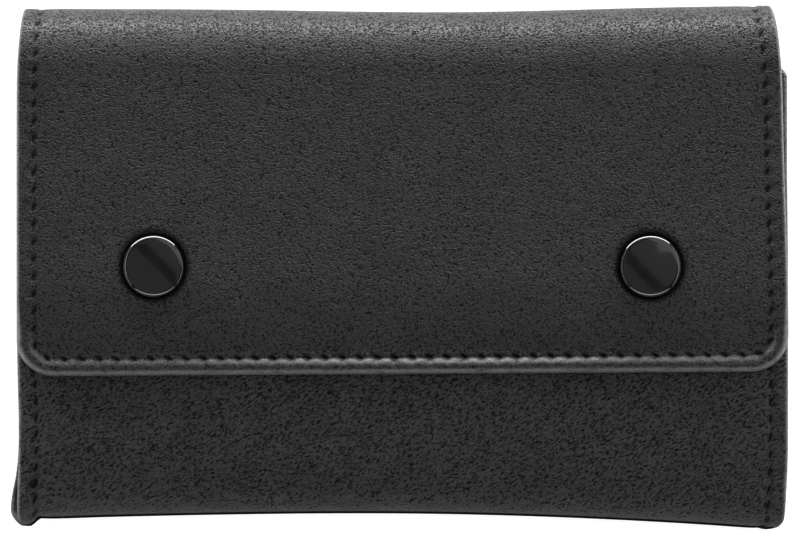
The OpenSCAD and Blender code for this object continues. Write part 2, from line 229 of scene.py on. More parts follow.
# %% Cut a panel and roll its edges
class Panel:
    """A flat cut. Its sides are curves of s, and its end may slant with a (0 left, 1 right). An end that
    runs on into the next panel is open: it stays square and isn't rolled. The two rolls say how far in
    from the sides and from the closed ends the face begins to turn down."""

    def __init__(self, left, right, start, end, corner=0.0, open_start=False, open_end=False,
                 rolls=(0.5, 0.5)):
        self.left, self.right, self.start, self.end = left, right, start, end
        self.corner, self.open_start, self.open_end, self.rolls = corner, open_start, open_end, rolls

    def roll(self, b):
        """The roll at the place b along the panel: the sides' roll, easing into the ends' roll."""
        near_end = 0 * b if self.open_end else step(0.8, 0.93, b)
        near_start = 0 * b if self.open_start else step(0.2, 0.07, b)
        return self.rolls[0] + (self.rolls[1] - self.rolls[0]) * (near_end + near_start)

    def spread(self, a, b, inset):
        """The flat place of the grid point (a, b), when the cut is drawn in by an inset."""
        start = self.start + (0 if self.open_start else inset)
        end = self.end(a) - (0 if self.open_end else inset)
        s = start + b * (end - start)
        left, right = self.left(s) + inset, self.right(s) - inset
        return left + a * (right - left), s

    def gaps(self, x, s, a):
        """How far a flat point is from the left, the right, the closed start and the closed end."""
        start = 1e3 + 0 * s if self.open_start else s - self.start
        end = 1e3 + 0 * s if self.open_end else self.end(a) - s
        return x - self.left(s), self.right(s) - x, start, end

    def round_off(self, x, s, a):
        """A point in a corner's square keeps its distance from the edge, but its square ring round the
        corner's centre turns into a circle: both offsets times the larger one over their length."""
        to_left, to_right, to_start, to_end = self.gaps(x, s, a)
        p = np.clip(self.corner - np.minimum(to_left, to_right), 0, None)
        q = np.clip(self.corner - np.minimum(to_start, to_end), 0, None)
        shrink = 1 - np.where((p > 0) & (q > 0), np.maximum(p, q) / np.maximum(np.hypot(p, q), 1e-9), 1)
        across, along = np.where(to_left < to_right, 1, -1), np.where(to_start < to_end, 1, -1)
        return x + across * p * shrink, s + along * q * shrink

    def inside(self, x, s):
        """How far a flat point is in from the nearest rolled edge."""
        to_left, to_right, to_start, to_end = self.gaps(x, s, (x + half_w) / (2 * half_w))
        side, end = np.minimum(to_left, to_right), np.minimum(to_start, to_end)
        p, q = np.clip(self.corner - side, 0, None), np.clip(self.corner - end, 0, None)
        return np.where((p > 0) & (q > 0), self.corner - np.hypot(p, q), np.minimum(side, end))


def make_sheet(name, panel, place, thick, across, along, skip=7, relief=None, painted_shade_at=None, polish_and_highlight=None,
               tucked=0.0, turned=False):
    """A closed sheet of a panel. A fine grid on the face is ringed by half ellipses over the edge, with the
    inset = roll (1 - sin t) and the depth = thick (1 - cos t) / 2, and is closed by a grid that takes every
    skip-th point on the hidden side. place(x, s, depth) puts a flat point in space, and relief(x, s) raises
    the face. thick may be a number or a function of s. Two numbers go with each point. The first is high on
    the rolled edge and on the lightened bead, and makes the colour lighter there: wear together with painted
    highlight. The second is high in a hollow, where painted shade, a lightless black, is laid.
    The map is the flat cut itself, in millimetres, so that the grain turns over the edges and the folds."""
    rows, columns, turns = len(along), len(across), 8
    full = thick if callable(thick) else (lambda s: thick + 0 * s)
    relief = relief or (lambda x, s: 0 * x)
    painted_shade_at, polish_and_highlight = painted_shade_at or (lambda x, s: 0 * x), polish_and_highlight or (lambda x, s: 0 * x)
    a, b = np.meshgrid(across, along)
    roll = panel.roll(b)
    x, s = panel.spread(a, b, roll)
    loop = rim_loop(rows, columns)
    out_x = np.where(a == 0, -1.0, np.where(a == 1, 1.0, 0.0)).ravel()[loop]
    out_s = np.where((b == 1) & (not panel.open_end), 1.0, 0.0)
    out_s = np.where((b == 0) & (not panel.open_start), -1.0, out_s).ravel()[loop]
    t = np.linspace(0, math.pi, turns + 1)[1:, None]
    ring_roll = roll.ravel()[loop]
    ring_x = x.ravel()[loop] + out_x * ring_roll * np.sin(t)
    ring_s = s.ravel()[loop] + out_s * ring_roll * np.sin(t)
    ring_x, ring_s = panel.round_off(ring_x, ring_s, a.ravel()[loop])
    x, s = panel.round_off(x, s, a)
    rise = relief(x, s)
    top = place(x, s, -rise).reshape(-1, 3)
    ring_rise = relief(ring_x, ring_s) * np.clip(np.cos(t), 0, 1)
    rings = place(ring_x, ring_s, full(ring_s) * (1 - np.cos(t)) / 2 - ring_rise).reshape(-1, 3)
    under_a, under_b = a[::skip, ::skip], b[::skip, ::skip]
    ux, us = panel.spread(under_a, under_b, panel.roll(under_b) + 0.6)
    us = np.where((under_b == 0) & panel.open_start, us + 0.6, us)
    us = np.where((under_b == 1) & panel.open_end, us - 0.6, us)
    ux, us = panel.round_off(ux, us, under_a)
    under = place(ux, us, full(us) - tucked + 0 * ux).reshape(-1, 3)

    size, ring, bottom = rows * columns, len(loop), under_a.shape
    first = size + ring * turns
    loops = np.vstack([loop, size + np.arange(ring * turns).reshape(turns, ring)])
    nxt = np.roll(loops, -1, axis=1)
    walls = np.stack([loops[:-1], nxt[:-1], nxt[1:], loops[1:]], -1).reshape(-1, 4)
    coarse = first + rim_loop(*bottom)
    last = np.append(loops[-1], loops[-1][0])
    spans = np.arange(len(coarse))[:, None] * skip + np.arange(skip + 1)
    joins = np.column_stack([last[spans], np.roll(coarse, -1), coarse])
    faces = [grid_faces(rows, columns), walls, joins, grid_faces(*bottom, first, turned=True)]
    if turned:
        faces = [f[:, ::-1] for f in faces]
    spare = t / math.pi * (math.pi / 2 * (ring_roll + full(ring_s) / 2)) - ring_roll * np.sin(t)
    ring_flat = np.stack([ring_x + out_x * spare, ring_s + out_s * spare], -1).reshape(-1, 2)
    face_flat = np.stack([x, s], -1).reshape(-1, 2)
    under_flat = np.stack([ux, us], -1).reshape(-1, 2) + 300
    flat = np.vstack([face_flat, ring_flat, under_flat])
    used = np.concatenate([f.ravel() for f in faces])
    piece = fill_mesh(name, np.vstack([top, rings, under]), faces, uv=flat[used])
    seen = 0.5 + 0.5 * np.cos(t)
    # The rolled edge and the lightened bead get a lighter colour: wear together with painted highlight.
    edge_wear_and_highlight = 0.72
    wear_and_highlight = np.maximum(edge_wear_and_highlight * step(0.15, -0.3, panel.inside(x, s) - roll), polish_and_highlight(x, s)).ravel()
    ring_wear_and_highlight = (edge_wear_and_highlight * step(0.15, -0.3, panel.inside(ring_x, ring_s) - ring_roll) * seen).ravel()
    # Painted shade: high in the hollows that the panel marks.
    painted_shade, ring_painted_shade = painted_shade_at(x, s).ravel(), (painted_shade_at(ring_x, ring_s) * seen).ravel()
    nothing = np.zeros(len(under))
    for word, parts in (("wear_and_highlight", (wear_and_highlight, ring_wear_and_highlight, nothing)), ("painted_shade", (painted_shade, ring_painted_shade, nothing))):
        values = np.clip(np.concatenate(parts), 0, 1).astype(np.float32)
        piece.data.attributes.new(word, "FLOAT", "POINT").data.foreach_set("value", values)
    print(f"{name}: {len(piece.data.polygons)} faces")
    return piece


# %% [markdown]
# ## The cuts
# The strip is a little narrower over the top fold than at its ends, where it was pulled in to sew it, and
# the flap's free edge isn't quite square to its sides. The back spreads at its lower left corner, where the
# gusset behind it pushes out.

# %% Sides of the strip
def foot(s, radius=1.3):
    """How far the sides are cut in where the strip turns under, so that its lower corners are round: at a
    height h over the lowest line, radius - sqrt(radius2 - (radius - h)2)."""
    h = np.clip(pouch_r * (1 - np.cos(np.clip(s / pouch_r, -1.5, 1.5))), 0, radius)
    return radius - np.sqrt(radius ** 2 - (radius - h) ** 2 + 0.01)


def strip_right(s):
    """The right side of back and flap: 1.5 mm less round the top fold and up to 0.78 mm less beside it,
    0.5 mm less at the bottom fold, and 0.28 mm more towards the flap's free edge."""
    top = 1.5 * bell(s - s_top - 1, 9) + 0.78 * bell(s - s_top - 8, 34) * step(s_round, s_back, s)
    return half_w - top - 0.5 * bell(s, 7) - foot(s) + 0.28 * step(s_fold + 8, s_edge - 8, s)


def strip_left(s):
    """The left side: 0.9 mm less round the top fold, and 1.15 mm more at the back's lower corner."""
    corner = 1.15 * bell(s - 5, 6) * step(-1, 3, s) * step(-1, 0, s)
    return -half_w + 0.9 * bell(s - s_top - 1, 9) - corner + foot(s)


def front_right(s):
    """The front's right side: 0.5 mm less at the bottom fold, and 0.15 mm more half-way up."""
    return half_w - 0.5 * bell(s, 7) + 0.15 * step(-8, -16, s) * step(-60, -40, s) - foot(s)


def front_left(s):
    """The front's left side, which pulls in by 0.25 mm where the pouch begins to round."""
    return -half_w + 0.25 * bell(s + 18, 8) * step(0, -3, s) + foot(s)


flap_corner = 5.5
back_cut = Panel(strip_left, strip_right, 0, lambda a: s_top + 0 * a, open_start=True, open_end=True)
flap_cut = Panel(strip_left, strip_right, s_top, lambda a: s_edge + 0.35 - 0.7 * a, flap_corner,
                 open_start=True, rolls=(0.42, 0.8))
front_cut = Panel(front_left, front_right, s_front, lambda a: 0 * a, corner=1.6, open_end=True,
                  rolls=(0.42, 0.5))


# %% [markdown]
# ## Where the needle goes
# The side seams are saddle stitched 2.6 mm in from the edge, about ten stitches to the inch. Each place
# where the thread dives has a pit, each span of seam lies in a shallow groove, and the leather between
# the seam and the edge puffs up between one stitch and the next.

# %% Lay out the seams
seam_in, stitch_pitch = 2.6, 2.57


def along_path(x, s, phase=0.5):
    """Places and directions of stitches at an even pitch along a path through flat points."""
    length = np.concatenate([[0], np.cumsum(np.hypot(np.diff(x), np.diff(s)))])
    count = int(length[-1] // stitch_pitch)
    at = (length[-1] - count * stitch_pitch) / 2 + (np.arange(count) + phase) * stitch_pitch
    place_x, place_s = np.interp(at, length, x), np.interp(at, length, s)
    ahead_x, ahead_s = np.interp(at + 0.3, length, x), np.interp(at + 0.3, length, s)
    back_x, back_s = np.interp(at - 0.3, length, x), np.interp(at - 0.3, length, s)
    return np.stack([place_x, place_s, np.arctan2(ahead_s - back_s, ahead_x - back_x)])


def side_seam(panel, start, end, side):
    """A seam along one side of a panel, from one s to another."""
    s = np.linspace(start, end, 400)
    x = panel.left(s) + seam_in if side < 0 else panel.right(s) - seam_in
    return along_path(x, s)


def flap_seam():
    """The flap's seam: down its left side, round the corner on an arc, along the free edge, and up again."""
    turn = np.linspace(0, math.pi / 2, 24)
    r = flap_corner - seam_in
    s = np.linspace(s_top, s_edge - flap_corner, 300)
    x_left, x_right = strip_left(s_edge) + flap_corner, strip_right(s_edge) - flap_corner
    low_left, low_right = flap_cut.end(0.0) - flap_corner, flap_cut.end(1.0) - flap_corner
    x = np.concatenate([strip_left(s) + seam_in, x_left - r * np.cos(turn), x_right + r * np.sin(turn),
                        (strip_right(s) - seam_in)[::-1]])
    s = np.concatenate([s, low_left + r * np.sin(turn), low_right + r * np.cos(turn), s[::-1]])
    return along_path(x, s)


flap_stitches = flap_seam()
back_stitches = np.hstack([side_seam(back_cut, 0, s_top, side) for side in (-1, 1)])
front_stitches = np.hstack([side_seam(front_cut, 0, s_front + 1, side) for side in (-1, 1)])
print("stitches:", flap_stitches.shape[1], back_stitches.shape[1], front_stitches.shape[1])


# %% Relief of a sewn panel
def near(x, s, spots, along, across, turn=0.0):
    """The sum of stretched bells round spots (x, s, angle): exp(-(u / along)2 - (v / across)2), where u
    and v run along and across each spot's angle plus a turn. Each is added only to the points near it."""
    total = np.zeros(x.size)
    flat_x, flat_s = x.ravel(), s.ravel()
    order = np.argsort(flat_s)
    sorted_s = flat_s[order]
    reach = 2.6 * max(along, across)
    for spot_x, spot_s, angle in spots.T:
        rows = order[slice(*np.searchsorted(sorted_s, (spot_s - reach, spot_s + reach)))]
        rows = rows[np.abs(flat_x[rows] - spot_x) < reach]
        dx, ds = flat_x[rows] - spot_x, flat_s[rows] - spot_s
        cos, sin = math.cos(angle + turn), math.sin(angle + turn)
        total[rows] += np.exp(-((dx * cos + ds * sin) / along) ** 2 - ((ds * cos - dx * sin) / across) ** 2)
    return total.reshape(x.shape)


def wave(x, s):
    """Long low waves, from 0 to 1, where nothing holds the leather flat."""
    total = np.sin(x / 9.1 + s / 17.3 + 1.1) + np.sin(s / 7.7 - x / 23.0) + np.sin((x + s) / 13.7 + 2.2)
    return (1 + total / 3) / 2


def sewn(panel, stitches, deep, slant=0.5):
    """Two functions of (x, s) for a sewn panel. The first is its height. The seam lies deep(x, s) under the
    face; outside it a bead comes up again as -deep (1 - u)2, where u is 1 at 1.5 mm from the seam; inside it
    the leather comes up more slowly. Each stitch pulls a slanted pit, and between two of them the bead puffs
    up. The second function is painted shade: 1 in the pits, and 0.9 on the bottom fold, which is painted
    dark."""
    x, s, angle = stitches
    outward = np.where(np.abs(np.cos(angle)) > 0.7, 0, np.sign(x - np.mean(x)))
    outward_s = np.where(np.abs(np.cos(angle)) > 0.7, np.sign(s - np.mean(s)), 0)
    half = stitch_pitch / 2
    pulls = np.stack([x + 0.45 * outward, s + 0.45 * outward_s, angle])
    puff_x, puff_s = x + half * np.cos(angle) + 0.6 * outward, s + half * np.sin(angle) + 0.6 * outward_s
    puffs = np.stack([puff_x, puff_s, angle])

    def height(px, ps):
        inside = panel.inside(px, ps)
        out, into = (seam_in - inside) / 1.5, np.clip(inside - seam_in, 0, None)
        slow_rise = 0.55 * np.exp(-into / 0.45) + 0.45 * np.exp(-into / 2.4)
        bead = np.where(out > 0, np.clip(1 - out, 0, 1) ** 2, slow_rise)
        rise = -deep(px, ps) * bead - 0.24 * near(px, ps, stitches, 0.6, 0.3, slant)
        rise += 0.4 * deep(px, ps) * (near(px, ps, puffs, 0.75, 0.55) - near(px, ps, pulls, 0.4, 0.6))
        calm = 0.1 + 0.2 * step(0, -12, ps) + 0.12 * step(s_top, s_top + 12, ps)
        return rise - calm * step(3.5, 12, inside) * wave(px, ps)

    def pit_and_fold_shade(px, ps):
        # Painted shade: darkest in the stitch pits, and laid over the bottom fold.
        return 1.25 * near(px, ps, stitches, 0.66, 0.3, slant) + 0.9 * bell(ps, 5.5)

    return height, pit_and_fold_shade


# %% [markdown]
# ## Shader sums
# A material here is written as sums. `Value` wraps one output socket and lets the usual signs add Math
# nodes, so `1 - hole * 0.4` is a formula and also a piece of the node tree. Every other node comes from
# `Recipe.node`.

# %% A socket that does arithmetic
class Value:
    """One output socket of a shader node, with the signs + - * working on it."""

    def __init__(self, recipe, socket):
        self.recipe, self.socket = recipe, socket

    def __add__(self, other):
        return self.recipe.sum("ADD", self, other)

    def __sub__(self, other):
        return self.recipe.sum("SUBTRACT", self, other)

    def __rsub__(self, other):
        return self.recipe.sum("SUBTRACT", other, self)

    def __mul__(self, other):
        return self.recipe.sum("MULTIPLY", self, other)

    __radd__ = __add__
    __rmul__ = __mul__


class Recipe:
    """A material and its node tree."""

    def __init__(self, name, **fixed):
        self.material = bpy.data.materials.new(name)
        self.material.use_nodes = True
        self.tree = self.material.node_tree
        self.shader = self.tree.nodes["Principled BSDF"]
        for socket, value in fixed.items():
            self.feed(self.shader.inputs[socket.replace("_", " ")], value)

    def feed(self, socket, value):
        """Link a Value to a socket, or set the socket to a number."""
        if isinstance(value, Value):
            self.tree.links.new(value.socket, socket)
        else:
            socket.default_value = value

    def node(self, kind, settings=None, inputs=None, output=0):
        """Add a node: its settings first, and then its sockets' values or links."""
        node = self.tree.nodes.new("ShaderNode" + kind)
        for word, value in (settings or {}).items():
            setattr(node, word, value)
        for socket, value in (inputs or {}).items():
            self.feed(node.inputs[socket], value)
        return Value(self, node.outputs[output])

    def sum(self, operation, *terms):
        """A Math node on one, two or three terms."""
        return self.node("Math", {"operation": operation}, dict(enumerate(terms)))

    def place(self, stretch=(1, 1, 1), turn=0.0):
        """The point's place on the object in millimetres, stretched and turned about the way it faces up."""
        place = self.node("TexCoord", output=3)
        inputs = {"Vector": place, "Scale": [1000 * k for k in stretch], "Rotation": (0, 0, turn)}
        return self.node("Mapping", inputs=inputs)

    def flat_place(self, stretch=(1, 1, 1), turn=0.0):
        """The point's place on the piece's own map, in millimetres: turned back by an angle, then stretched.
        A stretch under 1 makes a pattern longer along the line that runs at that angle."""
        inputs = {"Vector": self.node("UVMap", {"uv_map": "map"}), "Rotation": (0, 0, turn)}
        inputs["Scale"] = [1 / k for k in stretch]
        return self.node("Mapping", {"vector_type": "TEXTURE"}, inputs)

    def parts(self, vector):
        """The x, y and z of a vector."""
        first = self.node("SeparateXYZ", inputs={0: vector})
        return [Value(self, socket) for socket in first.socket.node.outputs]

    def noise(self, place, scale, detail=2.0, roughness=0.5):
        """Soft noise from 0 to 1 with a size of 1 / scale millimetres."""
        inputs = {"Vector": place, "Scale": scale, "Detail": detail, "Roughness": roughness}
        return self.node("TexNoise", inputs=inputs)

    def between(self, value, low, high):
        """0 below low, 1 above high, smooth between them."""
        settings = {"interpolation_type": "SMOOTHSTEP"}
        return self.node("MapRange", settings, {"Value": value, "From Min": low, "From Max": high})

    def shade(self, share, first, second):
        """A colour between two, by a share from 0 to 1."""
        mix = {0: share, 6: (*first, 1) if isinstance(first, tuple) else first,
               7: (*second, 1) if isinstance(second, tuple) else second}
        return self.node("Mix", {"data_type": "RGBA"}, mix, output=2)

    def mark(self, name):
        """A number that the mesh carries at each point."""
        return self.node("Attribute", {"attribute_name": name}, output=2)

    def bump(self, height, distance, strength=1.0):
        """A bump of a height from 0 to 1 times a distance in millimetres."""
        self.feed(self.shader.inputs["Normal"], self.node(
            "Bump", inputs={"Height": height, "Distance": distance * MM, "Strength": strength}))

    def paint_shade(self, share):
        """Lay lightless black over the finish by a share from 0 to 1: painted shade in holes, pits and
        hollows.
        """
        black = self.node("BsdfDiffuse", inputs={"Color": (0.0025, 0.0025, 0.0025, 1)})
        finish = Value(self, self.shader.outputs[0])
        mixed = self.node("MixShader", inputs={0: share, 1: finish, 2: black})
        self.tree.links.new(mixed.socket, self.tree.nodes["Material Output"].inputs["Surface"])

    def finish(self, **sockets):
        """Feed the shader and give the material back."""
        for socket, value in sockets.items():
            self.feed(self.shader.inputs[socket.replace("_", " ")], value)
        return self.material


# %% [markdown]
# ## Nappa
# Nappa has a fine pebbled grain: soft lumps about a third of a millimetre across with dark pits between
# them, and a few longer folds. The lumps are a flat noise, strayed a little by a second one. It is read on
# each sheet's own map, in millimetres of the flat cut, so it has the same scale on every panel and turns
# over the edges with the leather. The pits are darker and rougher than the tops, and painted shade, a
# lightless black, is laid over them. The front panel's hide is drawn out along a slant, and is set lighter
# as painted light: a lighter copy of the same leather, so that it looks as the real one does in its own
# light.

# %% The leather's recipe
def nappa(name, tone=1.0, grain=1.0, gloss=0.0, fine=3.4, stretch=(0.92, 1.08, 1.0), turn=0.0):
    """Black pebbled leather. tone scales its colour, grain its relief, and gloss lowers its roughness;
    stretch and turn draw the pebbles out along one line, where the leather was pulled. The
    pebbles are a flat noise of fine lumps per millimetre; the pits between them are its low half, deepest
    where the corners of a flat Voronoi pattern fall, and a slow noise makes some patches coarser."""
    leather = Recipe(name, IOR=1.47, Sheen_Weight=0.03, Sheen_Roughness=0.4)
    flat = {"noise_dimensions": "2D"}
    place = leather.flat_place(stretch=stretch, turn=turn)
    wander = leather.node("TexNoise", flat, {"Vector": place, "Scale": 1.3, "Detail": 2.0}, output=1)
    wander = leather.node("VectorMath", {"operation": "SCALE"}, {0: wander, "Scale": 0.4})
    strayed = leather.node("VectorMath", {"operation": "ADD"}, {0: place, 1: wander})
    corner = leather.node("TexVoronoi", {"voronoi_dimensions": "2D", "feature": "F1"},
                          {"Vector": strayed, "Scale": fine * 0.7})
    pebbles = leather.noise(strayed, fine, 1.0)
    patch = leather.noise(place, 0.14, 3.0)
    folds = leather.noise(leather.flat_place(stretch=(0.5, 1.3, 1.0), turn=0.35), 0.55, 3.0)
    coarse = leather.between(leather.noise(place, 0.35, 2.0), 0.3, 0.65)
    pit = leather.between(corner, 0.5, 0.85) * coarse
    hole = leather.sum("MAXIMUM", leather.between(pebbles, 0.59, 0.26), pit * 0.65)
    height = folds * 0.35 + pebbles * 0.5 - hole * 0.5
    leather.bump(height, 0.13 * grain)
    wear_and_highlight, painted_shade = leather.mark("wear_and_highlight"), leather.mark("painted_shade")
    # A lighter grey on the rolled edges and the bead: wear together with painted highlight.
    patchy_wear_and_highlight = wear_and_highlight * leather.between(leather.noise(place, 0.5, 3.0), 0.0, 0.6)
    low, mid, high = (tuple(tone * k for k in c) for c in (
        (0.002, 0.002, 0.0021), (0.021, 0.0208, 0.0212), (0.028, 0.0277, 0.0282)))
    colour = leather.shade(hole, leather.shade(leather.between(patch, 0.3, 0.7), mid, high), low)
    colour = leather.shade(patchy_wear_and_highlight * 0.85, colour, (0.27, 0.267, 0.267))
    rough = 0.43 - gloss + 0.1 * hole - 0.08 * patch - 0.1 * patchy_wear_and_highlight
    # Painted shade: lightless black over the marked hollows and over the grain's pits.
    leather.paint_shade(leather.sum("MAXIMUM", painted_shade * 0.94, hole * (1 - patchy_wear_and_highlight) * 0.75 * grain))
    return leather.finish(Base_Color=colour, Roughness=rough)


outer = nappa("nappa_strip")
# The front panel's leather is a lighter copy of the same nappa: painted light for the light the front gets.
front_nappa_lit_copy = nappa("nappa_front_lit_copy", tone=1.6, grain=1.1, fine=3.0, stretch=(0.68, 1.3, 1.0), turn=-0.6)
inner = nappa("nappa_lining", tone=1.15, grain=0.45, gloss=-0.08, fine=4.0)
pleat = nappa("nappa_gusset", tone=1.0, grain=0.55, gloss=-0.05, fine=3.8)
print("leathers:", outer.name, front_nappa_lit_copy.name, inner.name, pleat.name)


# %% [markdown]
# ## Thread, enamel and plated steel
# The thread is black bonded polyester, three plies twisted together: its bump runs in spirals along the
# piece's own map. The caps are black enamel with a clear, slightly uneven gloss. The hidden halves of the
# snaps are dark nickel, with fine turned rings and small dull specks. The flap's board is brown fibre.

# %% Thread
def thread_finish():
    """Black thread: a spiral wave of three plies, fuzzed by fine noise, darkened between the plies and all
    over by painted shade.
    """
    thread = Recipe("black_thread", IOR=1.35, Sheen_Weight=0.04, Sheen_Roughness=0.5)
    along, round_it, nothing = thread.parts(thread.flat_place())
    spiral = along * 9.0 + round_it * (3 * 2 * math.pi)
    ply = thread.sum("SINE", spiral) * 0.5 + 0.5
    fuzz = thread.noise(thread.place(), 14.0, 3.0)
    thread.bump(ply * 0.8 + fuzz * 0.4, 0.05)
    # Painted shade: the grooves between the plies are darker, and lightless black is laid over the thread.
    colour = thread.shade(ply, (0.0015, 0.0015, 0.0016), (0.006, 0.006, 0.0064))
    thread.paint_shade(0.6 - 0.3 * ply)
    return thread.finish(Base_Color=colour, Roughness=0.6 + 0.2 * fuzz)


thread = thread_finish()


# %% Enamel, nickel and board
def enamel():
    """Glossy black enamel: nearly even, with the faint swell and the hair-fine scratches of use."""
    paint = Recipe("black_enamel", IOR=1.52, Coat_Roughness=0.03)
    place = paint.place()
    swell = paint.noise(place, 0.35, 1.0)
    hairs = paint.noise(paint.place(stretch=(0.4, 6.0, 1.0), turn=0.6), 2.4, 4.0)
    scratch = paint.between(hairs, 0.63, 0.72)
    paint.bump(swell * 0.8 - scratch * 0.02, 0.02)
    colour = paint.shade(scratch * 0.4, (0.0022, 0.0022, 0.0024), (0.012, 0.012, 0.013))
    return paint.finish(Base_Color=colour, Roughness=0.07 + 0.06 * swell + 0.12 * scratch, Coat_Weight=0.5)


def nickel(name, bright):
    """Satin dark nickel: brightness in soft patches, fine turned rings, and small dull specks."""
    metal = Recipe(name, Metallic=1.0)
    place = metal.place()
    patch = metal.noise(place, 0.7, 4.0)
    rings = metal.noise(metal.place(stretch=(1, 1, 9)), 2.0, 3.0)
    speck = metal.between(metal.noise(place, 5.0, 2.0), 0.66, 0.72)
    metal.bump(rings * 0.6 + speck * 0.3, 0.02)
    colour = metal.shade(patch, tuple(0.75 * k for k in bright), bright)
    colour = metal.shade(speck * 0.5, colour, (0.09, 0.085, 0.08))
    return metal.finish(Base_Color=colour, Roughness=0.24 + 0.14 * patch + 0.2 * speck)


def board_finish():
    """Bonded board: brown fibres laid every way, with darker flecks."""
    board = Recipe("bonded_board", IOR=1.45)
    fibre = board.noise(board.place(stretch=(0.5, 3.0, 1.0), turn=0.4), 1.5, 6.0, 0.7)
    fleck = board.between(board.noise(board.place(), 2.2, 2.0), 0.62, 0.7)
    board.bump(fibre, 0.08)
    colour = board.shade(fibre, (0.16, 0.11, 0.07), (0.34, 0.25, 0.17))
    colour = board.shade(fleck, colour, (0.05, 0.035, 0.02))
    return board.finish(Base_Color=colour, Roughness=0.9 - 0.1 * fibre)


black_cap = enamel()
dark_nickel = nickel("dark_nickel", (0.42, 0.41, 0.4))
spring_steel = nickel("spring_steel", (0.7, 0.7, 0.68))
stiff_board = board_finish()


def dress(piece, material, slot, *stands_for):
    """Give a piece its material, and hide the CAD nodes that it stands for. slot is not used."""
    piece.data.materials.clear()
    piece.data.materials.append(material)
    if stands_for:
        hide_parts(*stands_for)
    return piece


def as_sheet(panel):
    """Work out the area of a panel's flat cut from its mean width and length; the area is not kept."""
    a, b = np.meshgrid(np.linspace(0, 1, 41), np.linspace(0, 1, 41))
    x, s = panel.spread(a, b, 0.0)
    area = float(np.mean(x[:, -1] - x[:, 0]) * np.mean(s[-1] - s[0])) * MM * MM


# %% [markdown]
# ## The flap
# The flap is the face of the holder, so its grid is the finest: seven columns to each stitch all the way
# across. It droops a little past the snaps and at its sides, where nothing holds it up, and the caps press a
# dish into it. It starts at the top fold's topmost line and covers the near half of that fold.

# %% Shape the flap
def flap_droop(x, s):
    """How far the flap sags: 1 mm at the free edge, from 5 mm below the snaps, and 0.5 mm at the sides."""
    side = half_w - np.abs(x)
    return 1.0 * step(s_edge - 14, s_edge + 1, s) + 0.5 * step(9, 0, side) * step(s_top + 6, s_top + 26, s)


def from_snap(x, s):
    """How far a flat point is from the nearer snap's axis."""
    return np.hypot(np.abs(x) - snap_x, s - (s_fold + fold_y - snap_y))


def place_flap(x, s, depth):
    """A flat point of the flap, drooped and folded. Its board, a sheet too, is placed by this as well, so
    that it sags with the leather and stays inside it."""
    return fold(x, s, depth + flap_droop(x, s))


def flap_thick(s):
    """The flap is as thick as the back at the top fold, and 0.4 mm thicker from where its board begins."""
    return panel_t + (flap_t - panel_t) * step(s_top + 2, s_fold + 4, s)


def flap_deep(x, s):
    """How deep the flap's seam lies: 0.2 mm at the sides, up to 0.8 mm in the middle of the free edge."""
    return 0.2 + step(s_edge - 8, s_edge - 4, s) * (0.18 + 0.42 * bell(x - 8, 36))


flap_height, flap_pit_shade = sewn(flap_cut, flap_stitches, flap_deep)


def flap_relief(x, s):
    """The sewn relief, and the dish that each cap presses: 0.55 mm deep, and gone 1.1 mm outside its rim."""
    return flap_height(x, s) - 0.55 * step(cap_r + 1.1, cap_r - 0.1, from_snap(x, s))


def flap_painted_shade(x, s):
    """Painted shade: 1 in the stitches' pits, and a painted shadow under each cap as far as 0.3 mm outside
    its rim.
    """
    return flap_pit_shade(x, s) + step(cap_r + 0.8, cap_r + 0.3, from_snap(x, s))


def flap_polish_and_highlight(x, s):
    """How far the bead along the free edge is lightened, as handling wear together with a painted highlight:
    most in the middle.
    """
    ends = step(s_edge - 7, s_edge - 4, s) * (0.25 + 0.75 * bell(x - 8, 36))
    return 1.3 * ends * bell(flap_cut.inside(x, s) - 2.0, 0.42)


flap_across = spaced((6, 0.2), (2 * half_w - 12, 0.36), (6, 0.2))
flap_along = spaced((s_edge - s_top - 6.5, 0.38), (6.5, 0.2))
flap = make_sheet("flap_skin", flap_cut, place_flap, flap_thick, flap_across, flap_along,
                  relief=flap_relief, painted_shade_at=flap_painted_shade, polish_and_highlight=flap_polish_and_highlight, tucked=0.25)
dress(flap, outer, "outer_leather", "flap_leather")
as_sheet(flap_cut)
top_line, back_line = (0, fold_y * MM, 0), (0, top_y * MM, fold_r * MM)
front_line = (0, fold_y * MM, closed_t * MM)
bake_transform(flap)


# %% [markdown]
# ## The board in the flap
# Between the flap's leather and its lining lies a thin board, which keeps the flap flat. It is cut as a
# panel too, and placed at its own depth under the leather, so that it droops exactly as the leather does.

# %% Stiffen the flap
board_low, board_high = corners("flap_board")
under_leather = closed_t - board_high[2]
board_cut = Panel(lambda s: board_low[0] + 0 * s, lambda s: board_high[0] + 0 * s,
                  s_fold + fold_y - board_high[1], lambda a: s_fold + fold_y - board_low[1] + 0 * a, 3.0,
                  rolls=(0.2, 0.2))
board = make_sheet("flap_stiffener", board_cut, lambda x, s, d: place_flap(x, s, under_leather + d),
                   board_high[2] - board_low[2], np.linspace(0, 1, 71), np.linspace(0, 1, 41))
dress(board, stiff_board, "board", "flap_board")
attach(board, "flap")


# %% [markdown]
# ## The back and the front
# The back runs from the lowest line of the bottom fold to the topmost line of the top fold, so it turns
# over the back half of the top fold. The front starts at the same lowest line and ends in its own turned top
# edge. Their grids are fine only beside the side seams, because nothing happens in the middle.

# %% Shape the back and the front
def side_deep(x, s):
    """How deep the side seams lie: 0.2 mm."""
    return 0.2 + 0 * x


def seam_grid(length):
    """Places across and along a panel with side seams: fine next to the seams and coarse between them."""
    return spaced((6, 0.25), (2 * half_w - 12, 1.5), (6, 0.25)), spaced((length, 0.36))


